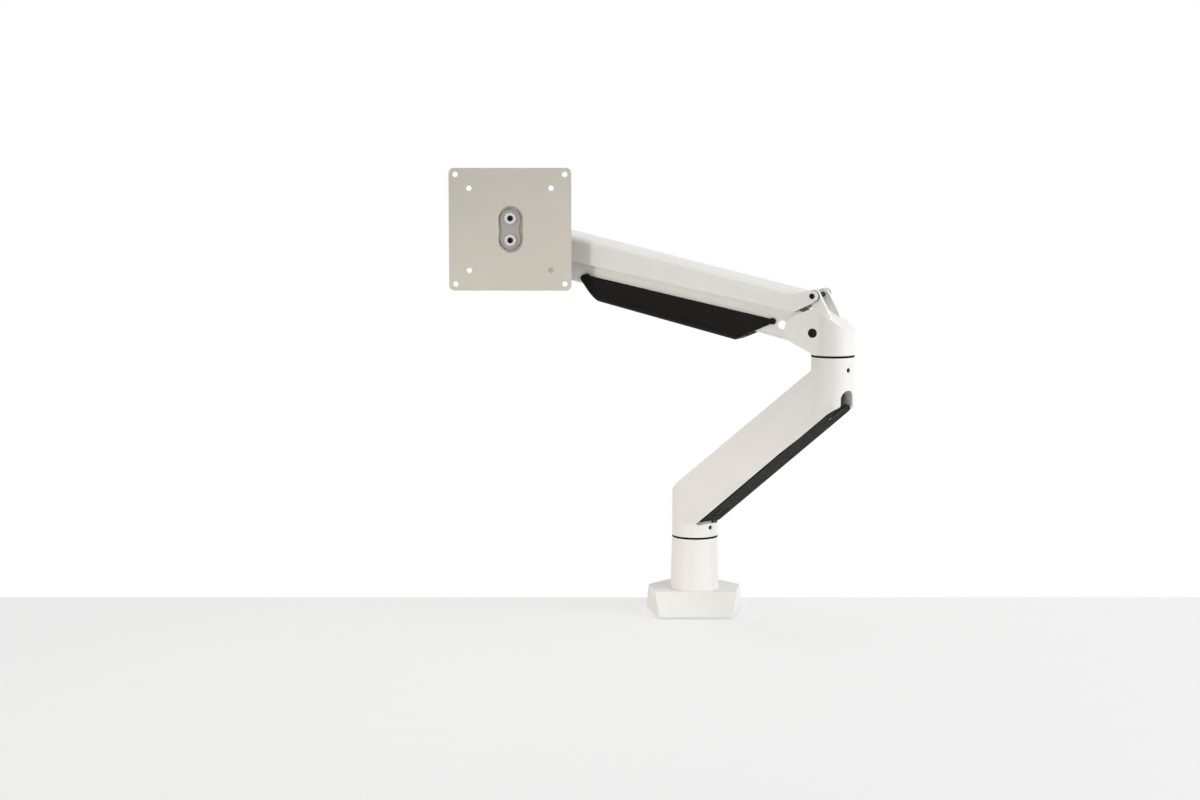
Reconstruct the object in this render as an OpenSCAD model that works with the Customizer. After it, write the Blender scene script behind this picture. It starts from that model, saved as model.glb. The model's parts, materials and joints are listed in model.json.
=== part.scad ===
// Desk-clamped monitor arm: swivelling lower arm, gas-sprung parallelogram upper arm,
// pan, tilt and roll head with a square mounting plate. Millimetres, +Z up.
// The origin lies on the desk, on the axis of the column. The desk's back edge is at +Y.

/* [Base] */
// Width of the base cover along its front edge
base_front_w = 70; // [62:1:78]
// Width of the base cover where it is widest
base_wide_w = 92; // [86:1:100]
// Width of the base cover along its back edge
base_back_w = 68; // [60:1:76]
// Distance from the column axis to the cover's front edge
base_front = 47.5; // [45:0.5:54]
// Distance from the column axis to the cover's back edge
base_back = 57; // [54:0.5:62]
// Height of the base cover above the foam pad
cover_h = 20; // [18:0.5:24]
// Run of the cover's sloping front
ramp_run = 23; // [18:0.5:23]
// Wall of the base cover
cover_wall = 2.5; // [2:0.1:3]
// Thickness of the foam pad
pad_t = 2; // [1:0.1:3]
// Thickness of the steel base plate
plate_t = 4; // [3:0.1:5]

/* [Column] */
// Radius of the column at its foot
column_foot_r = 24; // [22.5:0.1:24]
// Wall of the column
column_wall = 4; // [3:0.1:6]
// Height of the lower swivel ring's middle above the desk
ring_z = 73; // [65:1:100]
// Radius of the lower hub, its ring and the column's top
hub_r = 21.9; // [20:0.1:22.4]
// Thickness of the black swivel rings
ring_t = 2; // [1:0.1:3]
// Radius of the steel posts of both swivels
post_r = 9.5; // [8:0.1:10]
// Wall of the plastic bushes round the posts
bush_wall = 2.5; // [1.5:0.1:3]
// Length of the lower bush
lower_bush_l = 34; // [24:1:36]

/* [Clamp] */
// Thickness of the desk that the clamp holds at rest
desk_t = 25; // [10:1:60]
// Greatest thickness of desk that the clamp takes
clamp_max = 60; // [60:1:80]
// Width of the clamp bracket
bracket_w = 50; // [40:1:56]
// Thickness of the clamp bracket
bracket_t = 5; // [4:0.5:6]
// Distance of the clamp screw behind the column axis
clamp_y = 30; // [24:1:36]
// Radius of the clamp screw
clamp_r = 5; // [4:0.5:6]
// Radius of the clamp's pressure pad
foot_r = 20; // [15:1:22]
// Radius of the clamp's hand knob
knob_r = 17; // [14:1:20]

/* [Lower arm] */
// Distance between the two swivel axes
reach = 180; // [160:1:220]
// Height of the elbow ring above the lower ring
rise = 186.6; // [150:1:220]
// Direction of the lower arm, degrees from +X
lower_azimuth = -49.5; // [-90:1:90]
// Radius of the elbow hub and its ring
elbow_r = 19.35; // [18:0.1:20]
// Height of the lower hub's back above its ring
lower_back_h = 39.4; // [38:0.5:46]
// Height of the lower hub's front under the arm
lower_front_h = 17; // [15.5:0.5:21]
// Depth of the elbow hub's back
elbow_back_h = 20.5; // [16:0.5:24]
// Depth of the elbow hub's front
elbow_front_h = 42.5; // [42:0.5:48]
// Width of the lower arm's underside
under_w = 26; // [24:1:30]
// Wall of the lower arm
arm_wall = 3; // [2.5:0.1:4]
// Thickness of the dark cable covers
strip_t = 2.4; // [1.8:0.1:3]
// Length of the elbow bush
elbow_bush_l = 27; // [20:1:28]
// Height of the lower set screw above the lower ring
lower_screw_h = 10; // [8:0.5:12]
// Depth of the upper set screw below the elbow ring
upper_screw_h = 12; // [9:0.5:16]
// Width of the cable exit in the elbow hub
exit_w = 15.5; // [12:0.5:18]

/* [Upper arm] */
// Direction of the upper arm, degrees from +X
elbow_azimuth = 156.3; // [90:1:200]
// Angle of the upper arm above the horizontal
arm_angle = 13; // [0:1:30]
// Distance between the pivot pins of a link
link_l = 270; // [240:1:320]
// Height of the upper pins above the lower pins
pin_rise = 33; // [32:0.5:36]
// Distance of the elbow pins from the elbow axis
elbow_pin_x = 13.5; // [13:0.5:15]
// Height of the lower elbow pin above the elbow ring
elbow_pin_z = 21; // [20.5:0.5:24]
// Radius of the lower pins
lower_pin_r = 4.2; // [3:0.1:4.2]
// Radius of the upper pins
upper_pin_r = 2.5; // [2:0.1:3]
// Outer width of the lower link
link_w = 30; // [28:0.5:30]
// Depth of the lower link below its pins
link_low = 13; // [12:0.5:13]
// Height of the lower link above its pins
link_high = 17; // [15:0.5:18]
// Wall of the lower link
link_wall = 2.5; // [2:0.1:3]
// Wall of the brackets' ears
ear_wall = 2.9; // [2.5:0.1:3.5]
// Wall of the upper link
shell_wall = 2.2; // [1.8:0.1:2.6]
// Depth of the cable keel below the lower pins
keel_low = 26.2; // [22:0.5:28]
// Wall of the cable keel
keel_wall = 1.8; // [1.5:0.1:2.2]

/* [Gas spring] */
// Radius of the spring's cylinder
gas_r = 9; // [8:0.5:9.5]
// Radius of the spring's rod
rod_r = 4; // [3:0.5:5]
// Length of the spring's cylinder
gas_l = 142; // [120:1:150]
// Distance of the spring's rear pin from the lower elbow pin
gas_x = 30; // [28:1:40]
// Height of the tension nut's pin above the lower head pin
nut_z = 16; // [16:0.5:18]
// Radius of the tension screw
tension_r = 4; // [3:0.5:4]

/* [Head] */
// Distance from the head pins to the pan axis
pan_x = 41; // [41:0.5:48]
// Radius of the pan hub
pan_r = 19; // [17:0.5:19]
// Height of the tilt axis above the lower head pin
tilt_z = 29.2; // [26:0.2:32]
// Distance from the pan axis to the tilt axis
tilt_reach = 39; // [38:0.5:44]
// Distance from the tilt axis to the face of the plate
plate_reach = 36; // [36:0.5:40]
// Radius of the tilt bolt
tilt_r = 4; // [3:0.5:5]

/* [Plate] */
// Side of the square mounting plate
plate_w = 112; // [110:1:130]
// Thickness of the mounting plate
vesa_t = 3; // [2:0.1:3.5]
// Radius of the plate's corners
plate_corner = 5; // [2:0.5:8]
// Spacing of the outer holes
vesa_wide = 100; // [98:0.1:102]
// Spacing of the inner holes
vesa_narrow = 75; // [74:0.1:76]
// Radius of the mounting holes
vesa_hole_r = 2.5; // [2:0.1:3]
// Width of the central dish
dish_w = 24; // [22:0.5:28]
// Height of the central dish
dish_h = 43; // [40:0.5:48]
// Depth of the central dish
dish_depth = 7; // [6:0.5:7]
// Spacing of the two plate screws
plate_screw_gap = 20; // [18:0.5:21]

/* [Hidden] */
$fn = 64;
white = [0.93, 0.92, 0.90];
black = [0.10, 0.10, 0.10];
dark = [0.22, 0.22, 0.21];
steel = [0.62, 0.63, 0.65];
zinc = [0.75, 0.76, 0.78];

run_gap = 0.05;      // radial clearance of a turning shaft
side_gap = 0.3;      // clearance between a link and the ears beside it
slip_gap = 0.2;      // clearance round a clip-on cover
lap = 1;             // how far a cutter passes a face

// Base
plate_top = pad_t + plate_t;
cover_top = pad_t + cover_h;
wide_y = 14;         // where the base is widest
side_draft = 1.8;    // lean of the cover's sides, each side
cover_back_run = 17;
ramp_angle = atan(cover_h / ramp_run);
plate_inset = cover_wall / sin(ramp_angle) + plate_t * ramp_run / cover_h + 1;
plate_back_inset = cover_wall + plate_t * cover_back_run / cover_h + 1.5;
bolt_circle = 16;
bolt_r = 2.5;
bolt_l = 20;
bracket_screw_x = 15;
bracket_screw_r = 3;
bracket_land = 21;   // overlap of the clamp bracket and the base plate behind the screws
bracket_screw_y = base_back - bracket_land;
post_seat = 24;      // depth of a post's fixed end
column_top = ring_z - ring_t / 2;
hub_z = ring_z + ring_t / 2;
bush_r = post_r + bush_wall;

// Clamp
desk_edge = base_back + 2.5;
grip_t = 2;
foot_t = 4;
socket_h = 4;
socket_r = 8;
jaw_z = -(clamp_max + grip_t + foot_t + socket_h + 1);
jaw_boss_h = 12;
jaw_boss_r = clamp_r + 5;
jaw_front = clamp_y - 22;
desk_min = 10;
screw_l = jaw_boss_h - jaw_z - desk_min - grip_t - foot_t - socket_h + 9;
screw_hold = 8;
tip_r = clamp_r - 1.5;
foot_z = -desk_t - grip_t - foot_t - socket_h;

// Lower arm, in its own frame: X along the arm, Z up from the lower ring
seat = ring_t / 2;
top_k = (rise - elbow_back_h - lower_back_h) / (reach - elbow_r + hub_r);
low_k = (rise - elbow_front_h - lower_front_h) / (reach + elbow_r - hub_r);
top_slope = atan(top_k);
low_slope = atan(low_k);
boss_wall = 4;
set_screw_r = 2.2;
under_l = (reach + elbow_r - hub_r) / cos(low_slope);
foot_up = 8;         // height over the underside where the elbow hub starts to narrow
exit_top = 30;       // depth of the cable exit's top below the elbow ring
exit_back = 8;       // where the cable exit starts, from the elbow axis

// Elbow bracket, in its own frame: X along the upper arm, Z up from the elbow ring
crown_z = 35.3;      // height of the bracket's sloping top over the elbow axis
crown_k = 0.68;      // slope of that top
ear_in = link_w / 2 + side_gap;
ear_out = ear_in + ear_wall;
ear_r = 13;
ear_x = elbow_pin_x + 13.5;
ear_z = elbow_pin_z + 2.5;
lug_in = 11;
lug_out = 16;
lug_r = 5.4;
upper_pin_z = elbow_pin_z + pin_rise;
flange_r = post_r + 5.5;
flange_t = 3;
flange_screw_r = 1.5;
flange_screws = post_r + 2.7;

// Links, in their own frames: X along the link, Z square to it, from the elbow pin
link_end_r = 11;
web_end = 16;        // where the lower link's floor starts and stops
body_end = 22;       // where the lower link has its full depth
bush_out = lower_pin_r + 1.8;
shell_in = ear_out + side_gap;
shell_out = shell_in + shell_wall;
nose_r = 5.2;
roof_end = 9;
roof_z = -0.4;       // roof at the elbow end, from the line of the upper pins
roof_drop = 2.6;     // how far the roof falls towards the head
roof_from = 21;
roof_tilt = atan(roof_drop / (link_l - 2 * roof_from));
edge_elbow = -18.3;  // lower edge of the shell at its elbow end
edge_head = -27;     // lower edge of the shell at its head end
keel_in = link_w / 2 + slip_gap;
keel_out = keel_in + keel_wall;

// Gas spring
gas_z = -0.5;
gas_wall = 1.4;
gas_pin_r = 4;
nut_pin_r = 2.25;
eye_shift = 1.05;    // the nut's pin lies this far above the rod's line at rest
eye_slot = 1.45;     // half the slot's length between its end centres
eye_gap = 1.8;       // clearance of the open pivot
eye_r = eye_slot + nut_pin_r + eye_gap + 1.5;
gas_dx = link_l + nut_z * sin(arm_angle) - gas_x;
gas_dz = nut_z * cos(arm_angle) - eye_shift - gas_z;
gas_tilt = atan2(gas_dz, gas_dx);
gas_span = sqrt(gas_dx * gas_dx + gas_dz * gas_dz);

// Head, in its own frame: X towards the pan axis, Z up from the lower head pin
head_low = -13;
pan_seat = 6;        // top of the head bracket's pan hub
wall_x = 15.5;       // inner face of the head bracket's standing wall
wall_t = 3.5;
wall_half = 14.5;    // half the wall's width beside the fork
wall_top = 41;
tension_x = 12;
knuckle_z = pan_seat + ring_t;
knuckle_h = 42;
fork_out = 12.5;
fork_in = 8;
fork_r = 12;
fork_x = 22;         // where the fork opens, from the pan axis
block_r = 11;
roll_x = 13;         // where the roll flange starts, from the tilt axis
flange_x = 21.5;
roll_r = 5;
rotor_x = 22.5;
dish_floor_t = 2.5;
rotor_r = 17;
retainer_t = 1.5;
screw_r = 3;
screw_head_r = 5.25;
screw_head_h = 4.5;
dish_draft = 2.25;

// ---- frames ----

module in_lower_arm() translate([0, 0, ring_z]) rotate([0, 0, lower_azimuth]) children();

module in_elbow()
    in_lower_arm() translate([reach, 0, rise]) rotate([0, 0, elbow_azimuth - lower_azimuth]) children();

module in_lower_link()
    in_elbow() translate([elbow_pin_x, 0, elbow_pin_z]) rotate([0, -arm_angle, 0]) children();

module in_upper_link()
    in_elbow() translate([elbow_pin_x, 0, upper_pin_z]) rotate([0, -arm_angle, 0]) children();

module in_gas_spring()
    in_lower_link() translate([gas_x, 0, gas_z]) rotate([0, -gas_tilt, 0]) children();

module in_head()
    in_elbow()
        translate([elbow_pin_x + link_l * cos(arm_angle), 0, elbow_pin_z + link_l * sin(arm_angle)])
            children();

module in_pan() in_head() translate([pan_x, 0, 0]) rotate([0, 0, -90 - elbow_azimuth]) children();

module in_tilt() in_pan() translate([tilt_reach, 0, tilt_z]) children();

// In the plate's frame Z points at the monitor and Y runs sideways
module in_plate() in_tilt() rotate([0, 90, 0]) children();

// ---- shared shapes ----

module tube(outer, inner, length)
    difference() {
        cylinder(r = outer, h = length);
        translate([0, 0, -lap]) cylinder(r = inner, h = length + 2 * lap);
    }

// A profile drawn along X and Z, spread evenly to both sides of the XZ plane
module spread(width) rotate([90, 0, 0]) linear_extrude(width, center = true) children();

// A profile drawn across Y and Z, drawn out along X
module along_x(from, to) translate([from, 0, 0]) rotate([90, 0, 90]) linear_extrude(to - from) children();

module cross_pin(r, from, to)
    translate([0, to, 0]) rotate([90, 0, 0]) cylinder(r = r, h = to - from);

module both_sides() {
    children();
    mirror([0, 1, 0]) children();
}

module hex_socket(across, depth) cylinder(d = across / cos(30), h = depth, $fn = 6);

module six_sided(front_w, wide_w, back_w, front, back)
    polygon([[-front_w / 2, -front], [front_w / 2, -front], [wide_w / 2, wide_y],
             [back_w / 2, back], [-back_w / 2, back], [-wide_w / 2, wide_y]]);

module round_square(w, r)
    offset(r = r) square(w - 2 * r, center = true);

// A wide rectangle below the line y = 0 with its two top corners rounded
module round_top(half, depth, r)
    union() {
        translate([-half, -depth]) square([2 * half, depth - r]);
        translate([-half + r, -r - lap]) square([2 * (half - r), r + lap]);
        for (side = [-1, 1]) translate([side * (half - r), -r]) circle(r = r);
    }

module round_bottom(half, height, r) mirror([0, 1]) round_top(half, height, r);

// ---- base ----

module cover_blank(inset, low, top)
    hull() {
        translate([0, 0, low]) linear_extrude(0.5)
            offset(delta = -inset)
                six_sided(base_front_w, base_wide_w, base_back_w, base_front, base_back);
        translate([0, 0, top - 0.5]) linear_extrude(0.5)
            offset(delta = -inset)
                six_sided(base_front_w + 8, base_wide_w - 2 * side_draft, base_back_w - 20,
                          base_front - ramp_run, base_back - cover_back_run);
    }

module base_cover() color(white) {
    difference() {
        cover_blank(0, pad_t, cover_top);
        cover_blank(cover_wall, pad_t - lap, cover_top - cover_wall);
        cylinder(r = column_foot_r - 0.2, h = cover_top + lap);
        translate([-bracket_w / 2 - slip_gap, 0, pad_t - lap])
            cube([bracket_w + 2 * slip_gap, base_back + lap, plate_t + bracket_t + slip_gap + lap]);
    }
    for (x = [-1, 1]) for (y = [-14, 24])
        translate([x * (bracket_w / 2 + 5), y, plate_top])
            cylinder(r = 3, h = cover_top - cover_wall - plate_top);
}

module plate_plan(shrink)
    offset(delta = -shrink)
        six_sided(base_front_w - 4, base_wide_w - 2 * cover_wall - 3, base_back_w - 2 * cover_wall - 7,
                  base_front - plate_inset, base_back - plate_back_inset);

module column_holes(r, length) for (a = [90, 210, 330])
    rotate([0, 0, a]) translate([bolt_circle, 0, 0]) cylinder(r = r, h = length);

module bracket_holes(r, length) for (x = [-bracket_screw_x, bracket_screw_x])
    translate([x, bracket_screw_y, 0]) cylinder(r = r, h = length);

module base_plate() color(dark)
    difference() {
        translate([0, 0, pad_t]) linear_extrude(plate_t) plate_plan(0);
        column_holes(bolt_r, plate_top + lap);
        for (a = [90, 210, 330]) rotate([0, 0, a]) translate([bolt_circle, 0, pad_t])
            cylinder(r1 = 2 * bolt_r, r2 = bolt_r, h = bolt_r);
        bracket_holes(bracket_screw_r, plate_top + lap);
    }

module desk_pad() color(black)
    linear_extrude(pad_t) plate_plan(2);

module column() color(white)
    difference() {
        union() {
            difference() {
                translate([0, 0, plate_top])
                    cylinder(r1 = column_foot_r, r2 = hub_r, h = column_top - plate_top);
                translate([0, 0, plate_top - lap])
                    cylinder(r1 = column_foot_r - column_wall, r2 = hub_r - column_wall,
                             h = column_top - post_seat - plate_top + lap);
            }
            intersection() {
                translate([0, 0, plate_top]) column_holes(bolt_r + 2, column_top - post_seat - plate_top);
                cylinder(r = column_foot_r - 2, h = column_top);
            }
        }
        translate([0, 0, pad_t]) column_holes(bolt_r, bolt_l);
        cylinder(r = post_r, h = column_top + lap);
    }

module column_bolts() color(zinc)
    for (a = [90, 210, 330]) rotate([0, 0, a]) translate([bolt_circle, 0, pad_t])
        difference() {
            union() {
                cylinder(r1 = 2 * bolt_r, r2 = bolt_r, h = bolt_r);
                cylinder(r = bolt_r, h = bolt_l);
            }
            translate([0, 0, -lap]) hex_socket(bolt_r, lap + 1.6);
        }

module base_post() color(steel)
    translate([0, 0, column_top - post_seat])
        cylinder(r = post_r, h = post_seat + ring_t + lower_bush_l - 1);

module lower_ring() color(black)
    translate([0, 0, column_top]) tube(hub_r, post_r, ring_t);

// ---- clamp ----

module jaw_profile()
    difference() {
        offset(r = 6) offset(delta = -6)
            translate([jaw_front - 20, jaw_z - bracket_t])
                square([desk_edge + bracket_t - jaw_front + 20, plate_top + 2 * bracket_t - jaw_z]);
        offset(r = 1.5) offset(delta = -1.5)
            translate([jaw_front - 40, jaw_z]) square([desk_edge - jaw_front + 40, plate_top - jaw_z]);
        translate([jaw_front - 40, 0])
            square([bracket_screw_y - bracket_land / 2 - jaw_front + 40, plate_top + 2 * bracket_t]);
    }

module clamp_bracket() color(dark)
    difference() {
        union() {
            intersection() {
                rotate([90, 0, 90]) linear_extrude(bracket_w, center = true) jaw_profile();
                union() {
                    translate([-bracket_w / 2, -base_front, -lap])
                        cube([bracket_w, 3 * base_back, plate_top + 2 * bracket_t]);
                    translate([0, 0, jaw_z - bracket_t - lap]) linear_extrude(-jaw_z + bracket_t + 2 * lap)
                        hull() {
                            translate([0, clamp_y]) circle(r = 22);
                            translate([-bracket_w / 2, desk_edge - 6]) square([bracket_w, bracket_t + 7]);
                        }
                }
            }
            translate([0, clamp_y, jaw_z - jaw_boss_h]) cylinder(r = jaw_boss_r, h = jaw_boss_h);
        }
        translate([0, clamp_y, jaw_z - jaw_boss_h - lap])
            cylinder(r = clamp_r + run_gap, h = jaw_boss_h + 2 * lap);
        translate([0, 0, plate_top - lap]) bracket_holes(bracket_screw_r, bracket_t + 2 * lap);
    }

module bracket_screws() color(zinc)
    for (x = [-bracket_screw_x, bracket_screw_x]) translate([x, bracket_screw_y, pad_t])
        difference() {
            union() {
                cylinder(r = bracket_screw_r, h = plate_t + bracket_t);
                translate([0, 0, plate_t + bracket_t]) cylinder(r1 = 5.2, r2 = 4.2, h = 3.2);
            }
            translate([0, 0, plate_t + bracket_t + 1.2]) hex_socket(4, 3);
        }

module clamp_grip() color(black)
    translate([0, clamp_y, -desk_t - grip_t]) cylinder(r = foot_r, h = grip_t);

module clamp_pad() color(dark)
    translate([0, clamp_y, foot_z])
        difference() {
            union() {
                cylinder(r = socket_r, h = socket_h + foot_t);
                translate([0, 0, socket_h]) cylinder(r1 = foot_r - 1.5, r2 = foot_r, h = foot_t);
            }
            translate([0, 0, -lap]) cylinder(r = tip_r + run_gap, h = socket_h + lap);
        }

module clamp_screw() color(steel)
    translate([0, clamp_y, foot_z]) {
        cylinder(r = tip_r, h = socket_h);
        translate([0, 0, -screw_l - screw_hold]) cylinder(r = clamp_r, h = screw_l + screw_hold);
    }

module clamp_knob() color(black)
    translate([0, clamp_y, foot_z - screw_l - 14])
        difference() {
            union() {
                cylinder(r = knob_r, h = 10);
                cylinder(r = clamp_r + 5, h = 14);
            }
            for (a = [0:60:300]) rotate([0, 0, a]) translate([knob_r + 3, 0, -lap])
                cylinder(r = 6, h = 10 + 2 * lap);
            translate([0, 0, -lap]) hex_socket(6, 4 + lap);
            translate([0, 0, 14 - screw_hold]) cylinder(r = clamp_r, h = screw_hold + lap);
        }

// ---- lower arm ----

function top_at(x) = lower_back_h + top_k * (x + hub_r);
function low_at(x) = lower_front_h + low_k * (x - hub_r);

module sloped_disc(x, z, r) translate([x, 0, z]) rotate([0, -top_slope, 0]) cylinder(r = r, h = 0.2, $fn = 48);

module on_underside() translate([hub_r, 0, lower_front_h]) rotate([0, -low_slope, 0]) children();

// Outline of the underside, from the front of the lower hub to the front of the elbow hub
module under_outline(shrink)
    hull() {
        translate([shrink, shrink / 2 - under_w / 2]) square([10, under_w - shrink]);
        intersection() {
            translate([under_l - elbow_r / cos(low_slope), 0]) scale([1 / cos(low_slope), 1])
                circle(r = elbow_r - shrink);
            translate([under_l / 2, shrink / 2 - under_w / 2]) square([under_l, under_w - shrink]);
        }
    }

// A thin slice of a hub, parallel to the underside and at a height over it
module hub_slice(x, r, up)
    intersection() {
        translate([x, 0, seat + 1]) cylinder(r = r, h = rise);
        translate([x, 0, low_at(x) + up]) rotate([0, -low_slope, 0])
            translate([-2 * r, -2 * r, 0]) cube([4 * r, 4 * r, 0.3]);
    }

// The beam between the hubs: as wide as the hubs on top and drawn in towards its underside
module beam(inset, lift)
    hull() {
        sloped_disc(0, top_at(0) - lift, hub_r - inset);
        sloped_disc(reach, top_at(reach) - lift, elbow_r - inset);
        hub_slice(0, hub_r - inset, foot_up + lift);
        on_underside() translate([0, 0, 0.2 - lift]) linear_extrude(0.2) under_outline(inset);
    }

// The elbow hub's round bottom, drawn in to the width of the underside
module elbow_foot()
    hull() {
        hub_slice(reach, elbow_r - 0.1, foot_up);
        intersection() {
            on_underside() translate([0, 0, 0.1]) linear_extrude(0.2) under_outline(0.2);
            translate([reach, -hub_r, 0]) cube([2 * hub_r, 2 * hub_r, rise]);
        }
    }

module arm_blank() {
    difference() {
        union() {
            beam(0.1, 0.2);
            elbow_foot();
        }
        translate([reach - 2 * elbow_r, -2 * elbow_r, rise - seat - 0.5]) cube(4 * elbow_r);
    }
    difference() {
        translate([0, 0, seat]) cylinder(r = hub_r, h = top_at(hub_r));
        translate([0, 0, top_at(0)]) rotate([0, -top_slope, 0]) translate([-60, -30, 0]) cube([120, 60, 60]);
    }
    difference() {
        translate([reach, 0, low_at(reach - elbow_r)])
            cylinder(r = elbow_r, h = rise - seat - low_at(reach - elbow_r));
        translate([reach, 0, low_at(reach) + foot_up + 0.1]) rotate([0, -low_slope, 0])
            translate([-60, -30, -60]) cube([120, 60, 60]);
    }
}

module cable_channel()
    difference() {
        beam(arm_wall, arm_wall + 1);
        cylinder(r = bush_r + boss_wall, h = rise);
        translate([reach, 0, rise - elbow_bush_l - boss_wall]) cylinder(r = elbow_r, h = rise);
        translate([reach + exit_back, -elbow_r, 0]) cube([2 * elbow_r, 2 * elbow_r, rise]);
        for (x = [60, 95, 130]) translate([x, -hub_r, top_at(x) - arm_wall - 9])
            rotate([0, -top_slope, 0]) cube([2, 2 * hub_r, 12]);
    }

// The open mouth in the elbow hub where the cables leave the arm
module cable_exit()
    translate([reach + exit_back - lap, 0, rise - exit_top - exit_w / 2]) {
        rotate([0, 90, 0]) cylinder(r = exit_w / 2, h = elbow_r);
        translate([0, -exit_w / 2, -exit_w]) cube([elbow_r, exit_w, exit_w]);
    }

module set_screw_axis(x, z, from, length)
    translate([x + from, 0, z]) rotate([0, 90, 0]) cylinder(r = set_screw_r, h = length);

module lower_arm() color(white) in_lower_arm()
    difference() {
        arm_blank();
        cable_channel();
        on_underside() translate([0, 0, -lap]) linear_extrude(strip_t + lap)
            offset(delta = slip_gap) strip_outline();
        translate([0, 0, -lap]) cylinder(r = bush_r, h = lower_bush_l + lap + seat);
        translate([reach, 0, rise - seat - elbow_bush_l]) cylinder(r = bush_r, h = elbow_bush_l + lap);
        set_screw_axis(0, lower_screw_h, bush_r - lap, hub_r);
        set_screw_axis(reach, rise - upper_screw_h, bush_r - lap, elbow_r);
        cable_exit();
    }

module lower_bush() color(zinc) in_lower_arm()
    translate([0, 0, seat]) tube(bush_r, post_r + run_gap, lower_bush_l);

module elbow_bush() color(zinc) in_lower_arm()
    translate([reach, 0, rise - seat - elbow_bush_l]) tube(bush_r, post_r + run_gap, elbow_bush_l);

module set_screw(length) rotate([0, 90, 0])
    difference() {
        cylinder(r = set_screw_r, h = length);
        translate([0, 0, length - 2.5]) hex_socket(2, 3);
    }

module arm_set_screws() color(black) in_lower_arm() {
    translate([bush_r, 0, lower_screw_h]) set_screw(hub_r - bush_r - 1.5);
    translate([reach + bush_r, 0, rise - upper_screw_h]) set_screw(elbow_r - bush_r - 1.5);
}

module elbow_ring() color(black) in_lower_arm()
    translate([reach, 0, rise - seat]) tube(elbow_r, post_r + run_gap, ring_t);

// Outline of the cable cover, which is as wide as the underside
module strip_outline()
    hull() {
        translate([-1.5, -under_w / 2]) square([10, under_w]);
        translate([under_l - under_w / 2 - 3.5, 0]) circle(r = under_w / 2);
    }

// Cover strip with a U-shaped slot that frees its latch tongue
module lower_cable_cover() color(dark) in_lower_arm() on_underside()
    difference() {
        linear_extrude(strip_t) strip_outline();
        translate([10, 0, -lap]) linear_extrude(strip_t + 2 * lap)
            difference() {
                translate([0, -6]) square([14, 12]);
                translate([1.2, -4.8]) square([14, 9.6]);
            }
    }

// ---- elbow ----

module ear_profile()
    intersection() {
        hull() {
            translate([ear_x, ear_z]) circle(r = ear_r);
            translate([-2, seat]) square([elbow_pin_x - 0.5, crown_z + 8]);
        }
        polygon([[-30, seat], [60, seat], [60, crown_z + crown_k * 60], [-30, crown_z - crown_k * 30]]);
    }

module crown_cut()
    polygon([[-30, crown_z - crown_k * 30], [60, crown_z + crown_k * 60], [60, 120], [-30, 120]]);

// The hollow that the lower link's end swings in
module elbow_hollow()
    polygon([[elbow_pin_x - link_end_r - 1, 120], [elbow_pin_x - link_end_r - 1, elbow_pin_z - link_end_r - 1],
             [9, elbow_pin_z - link_end_r - 1], [flange_r + 0.5, flange_t + seat + 1.6],
             [flange_r + 0.5, seat + 1.8], [80, seat + 1.8], [80, 120]]);

module upper_lug(foot_x, foot_z, top_x, top_z)
    both_sides() translate([0, (lug_in + lug_out) / 2, 0]) spread(lug_out - lug_in)
        hull() {
            translate([top_x, top_z]) circle(r = lug_r);
            translate([foot_x, foot_z]) circle(r = lug_r);
        }

module elbow_bracket() color(white) in_elbow()
    difference() {
        union() {
            difference() {
                union() {
                    translate([0, 0, seat]) cylinder(r = elbow_r, h = 60);
                    spread(2 * ear_out) ear_profile();
                }
                spread(4 * elbow_r) crown_cut();
                spread(2 * ear_in) elbow_hollow();
            }
            upper_lug(elbow_pin_x - 10.3, elbow_pin_z + 13.5, elbow_pin_x, upper_pin_z);
        }
        translate([elbow_pin_x, 0, elbow_pin_z]) cross_pin(lower_pin_r, -elbow_r, elbow_r);
        translate([elbow_pin_x, 0, upper_pin_z]) cross_pin(upper_pin_r, -elbow_r, elbow_r);
        cylinder(r = flange_r, h = seat + flange_t);
        for (a = [60, 180, 300]) rotate([0, 0, a]) translate([flange_screws, 0, seat])
            cylinder(r = flange_screw_r, h = 5);
    }

module elbow_post() color(steel) in_elbow()
    difference() {
        union() {
            translate([0, 0, 1 - seat - elbow_bush_l]) cylinder(r = post_r, h = elbow_bush_l + 2 * seat - 1);
            translate([0, 0, seat]) cylinder(r = flange_r, h = flange_t);
        }
        for (a = [60, 180, 300]) rotate([0, 0, a]) translate([flange_screws, 0, seat]) {
            translate([0, 0, -lap]) cylinder(r = flange_screw_r, h = flange_t + 2 * lap);
            cylinder(r1 = 2.6, r2 = flange_screw_r, h = 1.1);
        }
    }

module post_screws() color(zinc) in_elbow()
    for (a = [60, 180, 300]) rotate([0, 0, a]) translate([flange_screws, 0, seat]) {
        cylinder(r = flange_screw_r, h = 5);
        cylinder(r1 = 2.6, r2 = flange_screw_r, h = 1.1);
    }

module link_pin(r, half) difference() {
    cross_pin(r, -half, half);
    both_sides() translate([0, half + lap, 0]) rotate([90, 0, 0]) hex_socket(r, lap + 1.5);
}

module elbow_lower_pin() color(black) in_elbow()
    translate([elbow_pin_x, 0, elbow_pin_z]) link_pin(lower_pin_r, ear_out);

module elbow_upper_pin() color(black) in_elbow()
    translate([elbow_pin_x, 0, upper_pin_z]) link_pin(upper_pin_r, shell_out + 0.2);

module pin_washers() both_sides()
    translate([0, shell_in, 0]) rotate([90, 0, 0]) tube(lug_r, upper_pin_r, shell_in - lug_out);

module elbow_washers() color(black) in_elbow()
    translate([elbow_pin_x, 0, upper_pin_z]) pin_washers();

// ---- lower link ----

module link_side()
    hull() {
        circle(r = link_end_r);
        translate([link_l, 0]) circle(r = link_end_r);
        translate([body_end, -link_low]) square([link_l - 2 * body_end, link_low + link_high]);
    }

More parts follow.
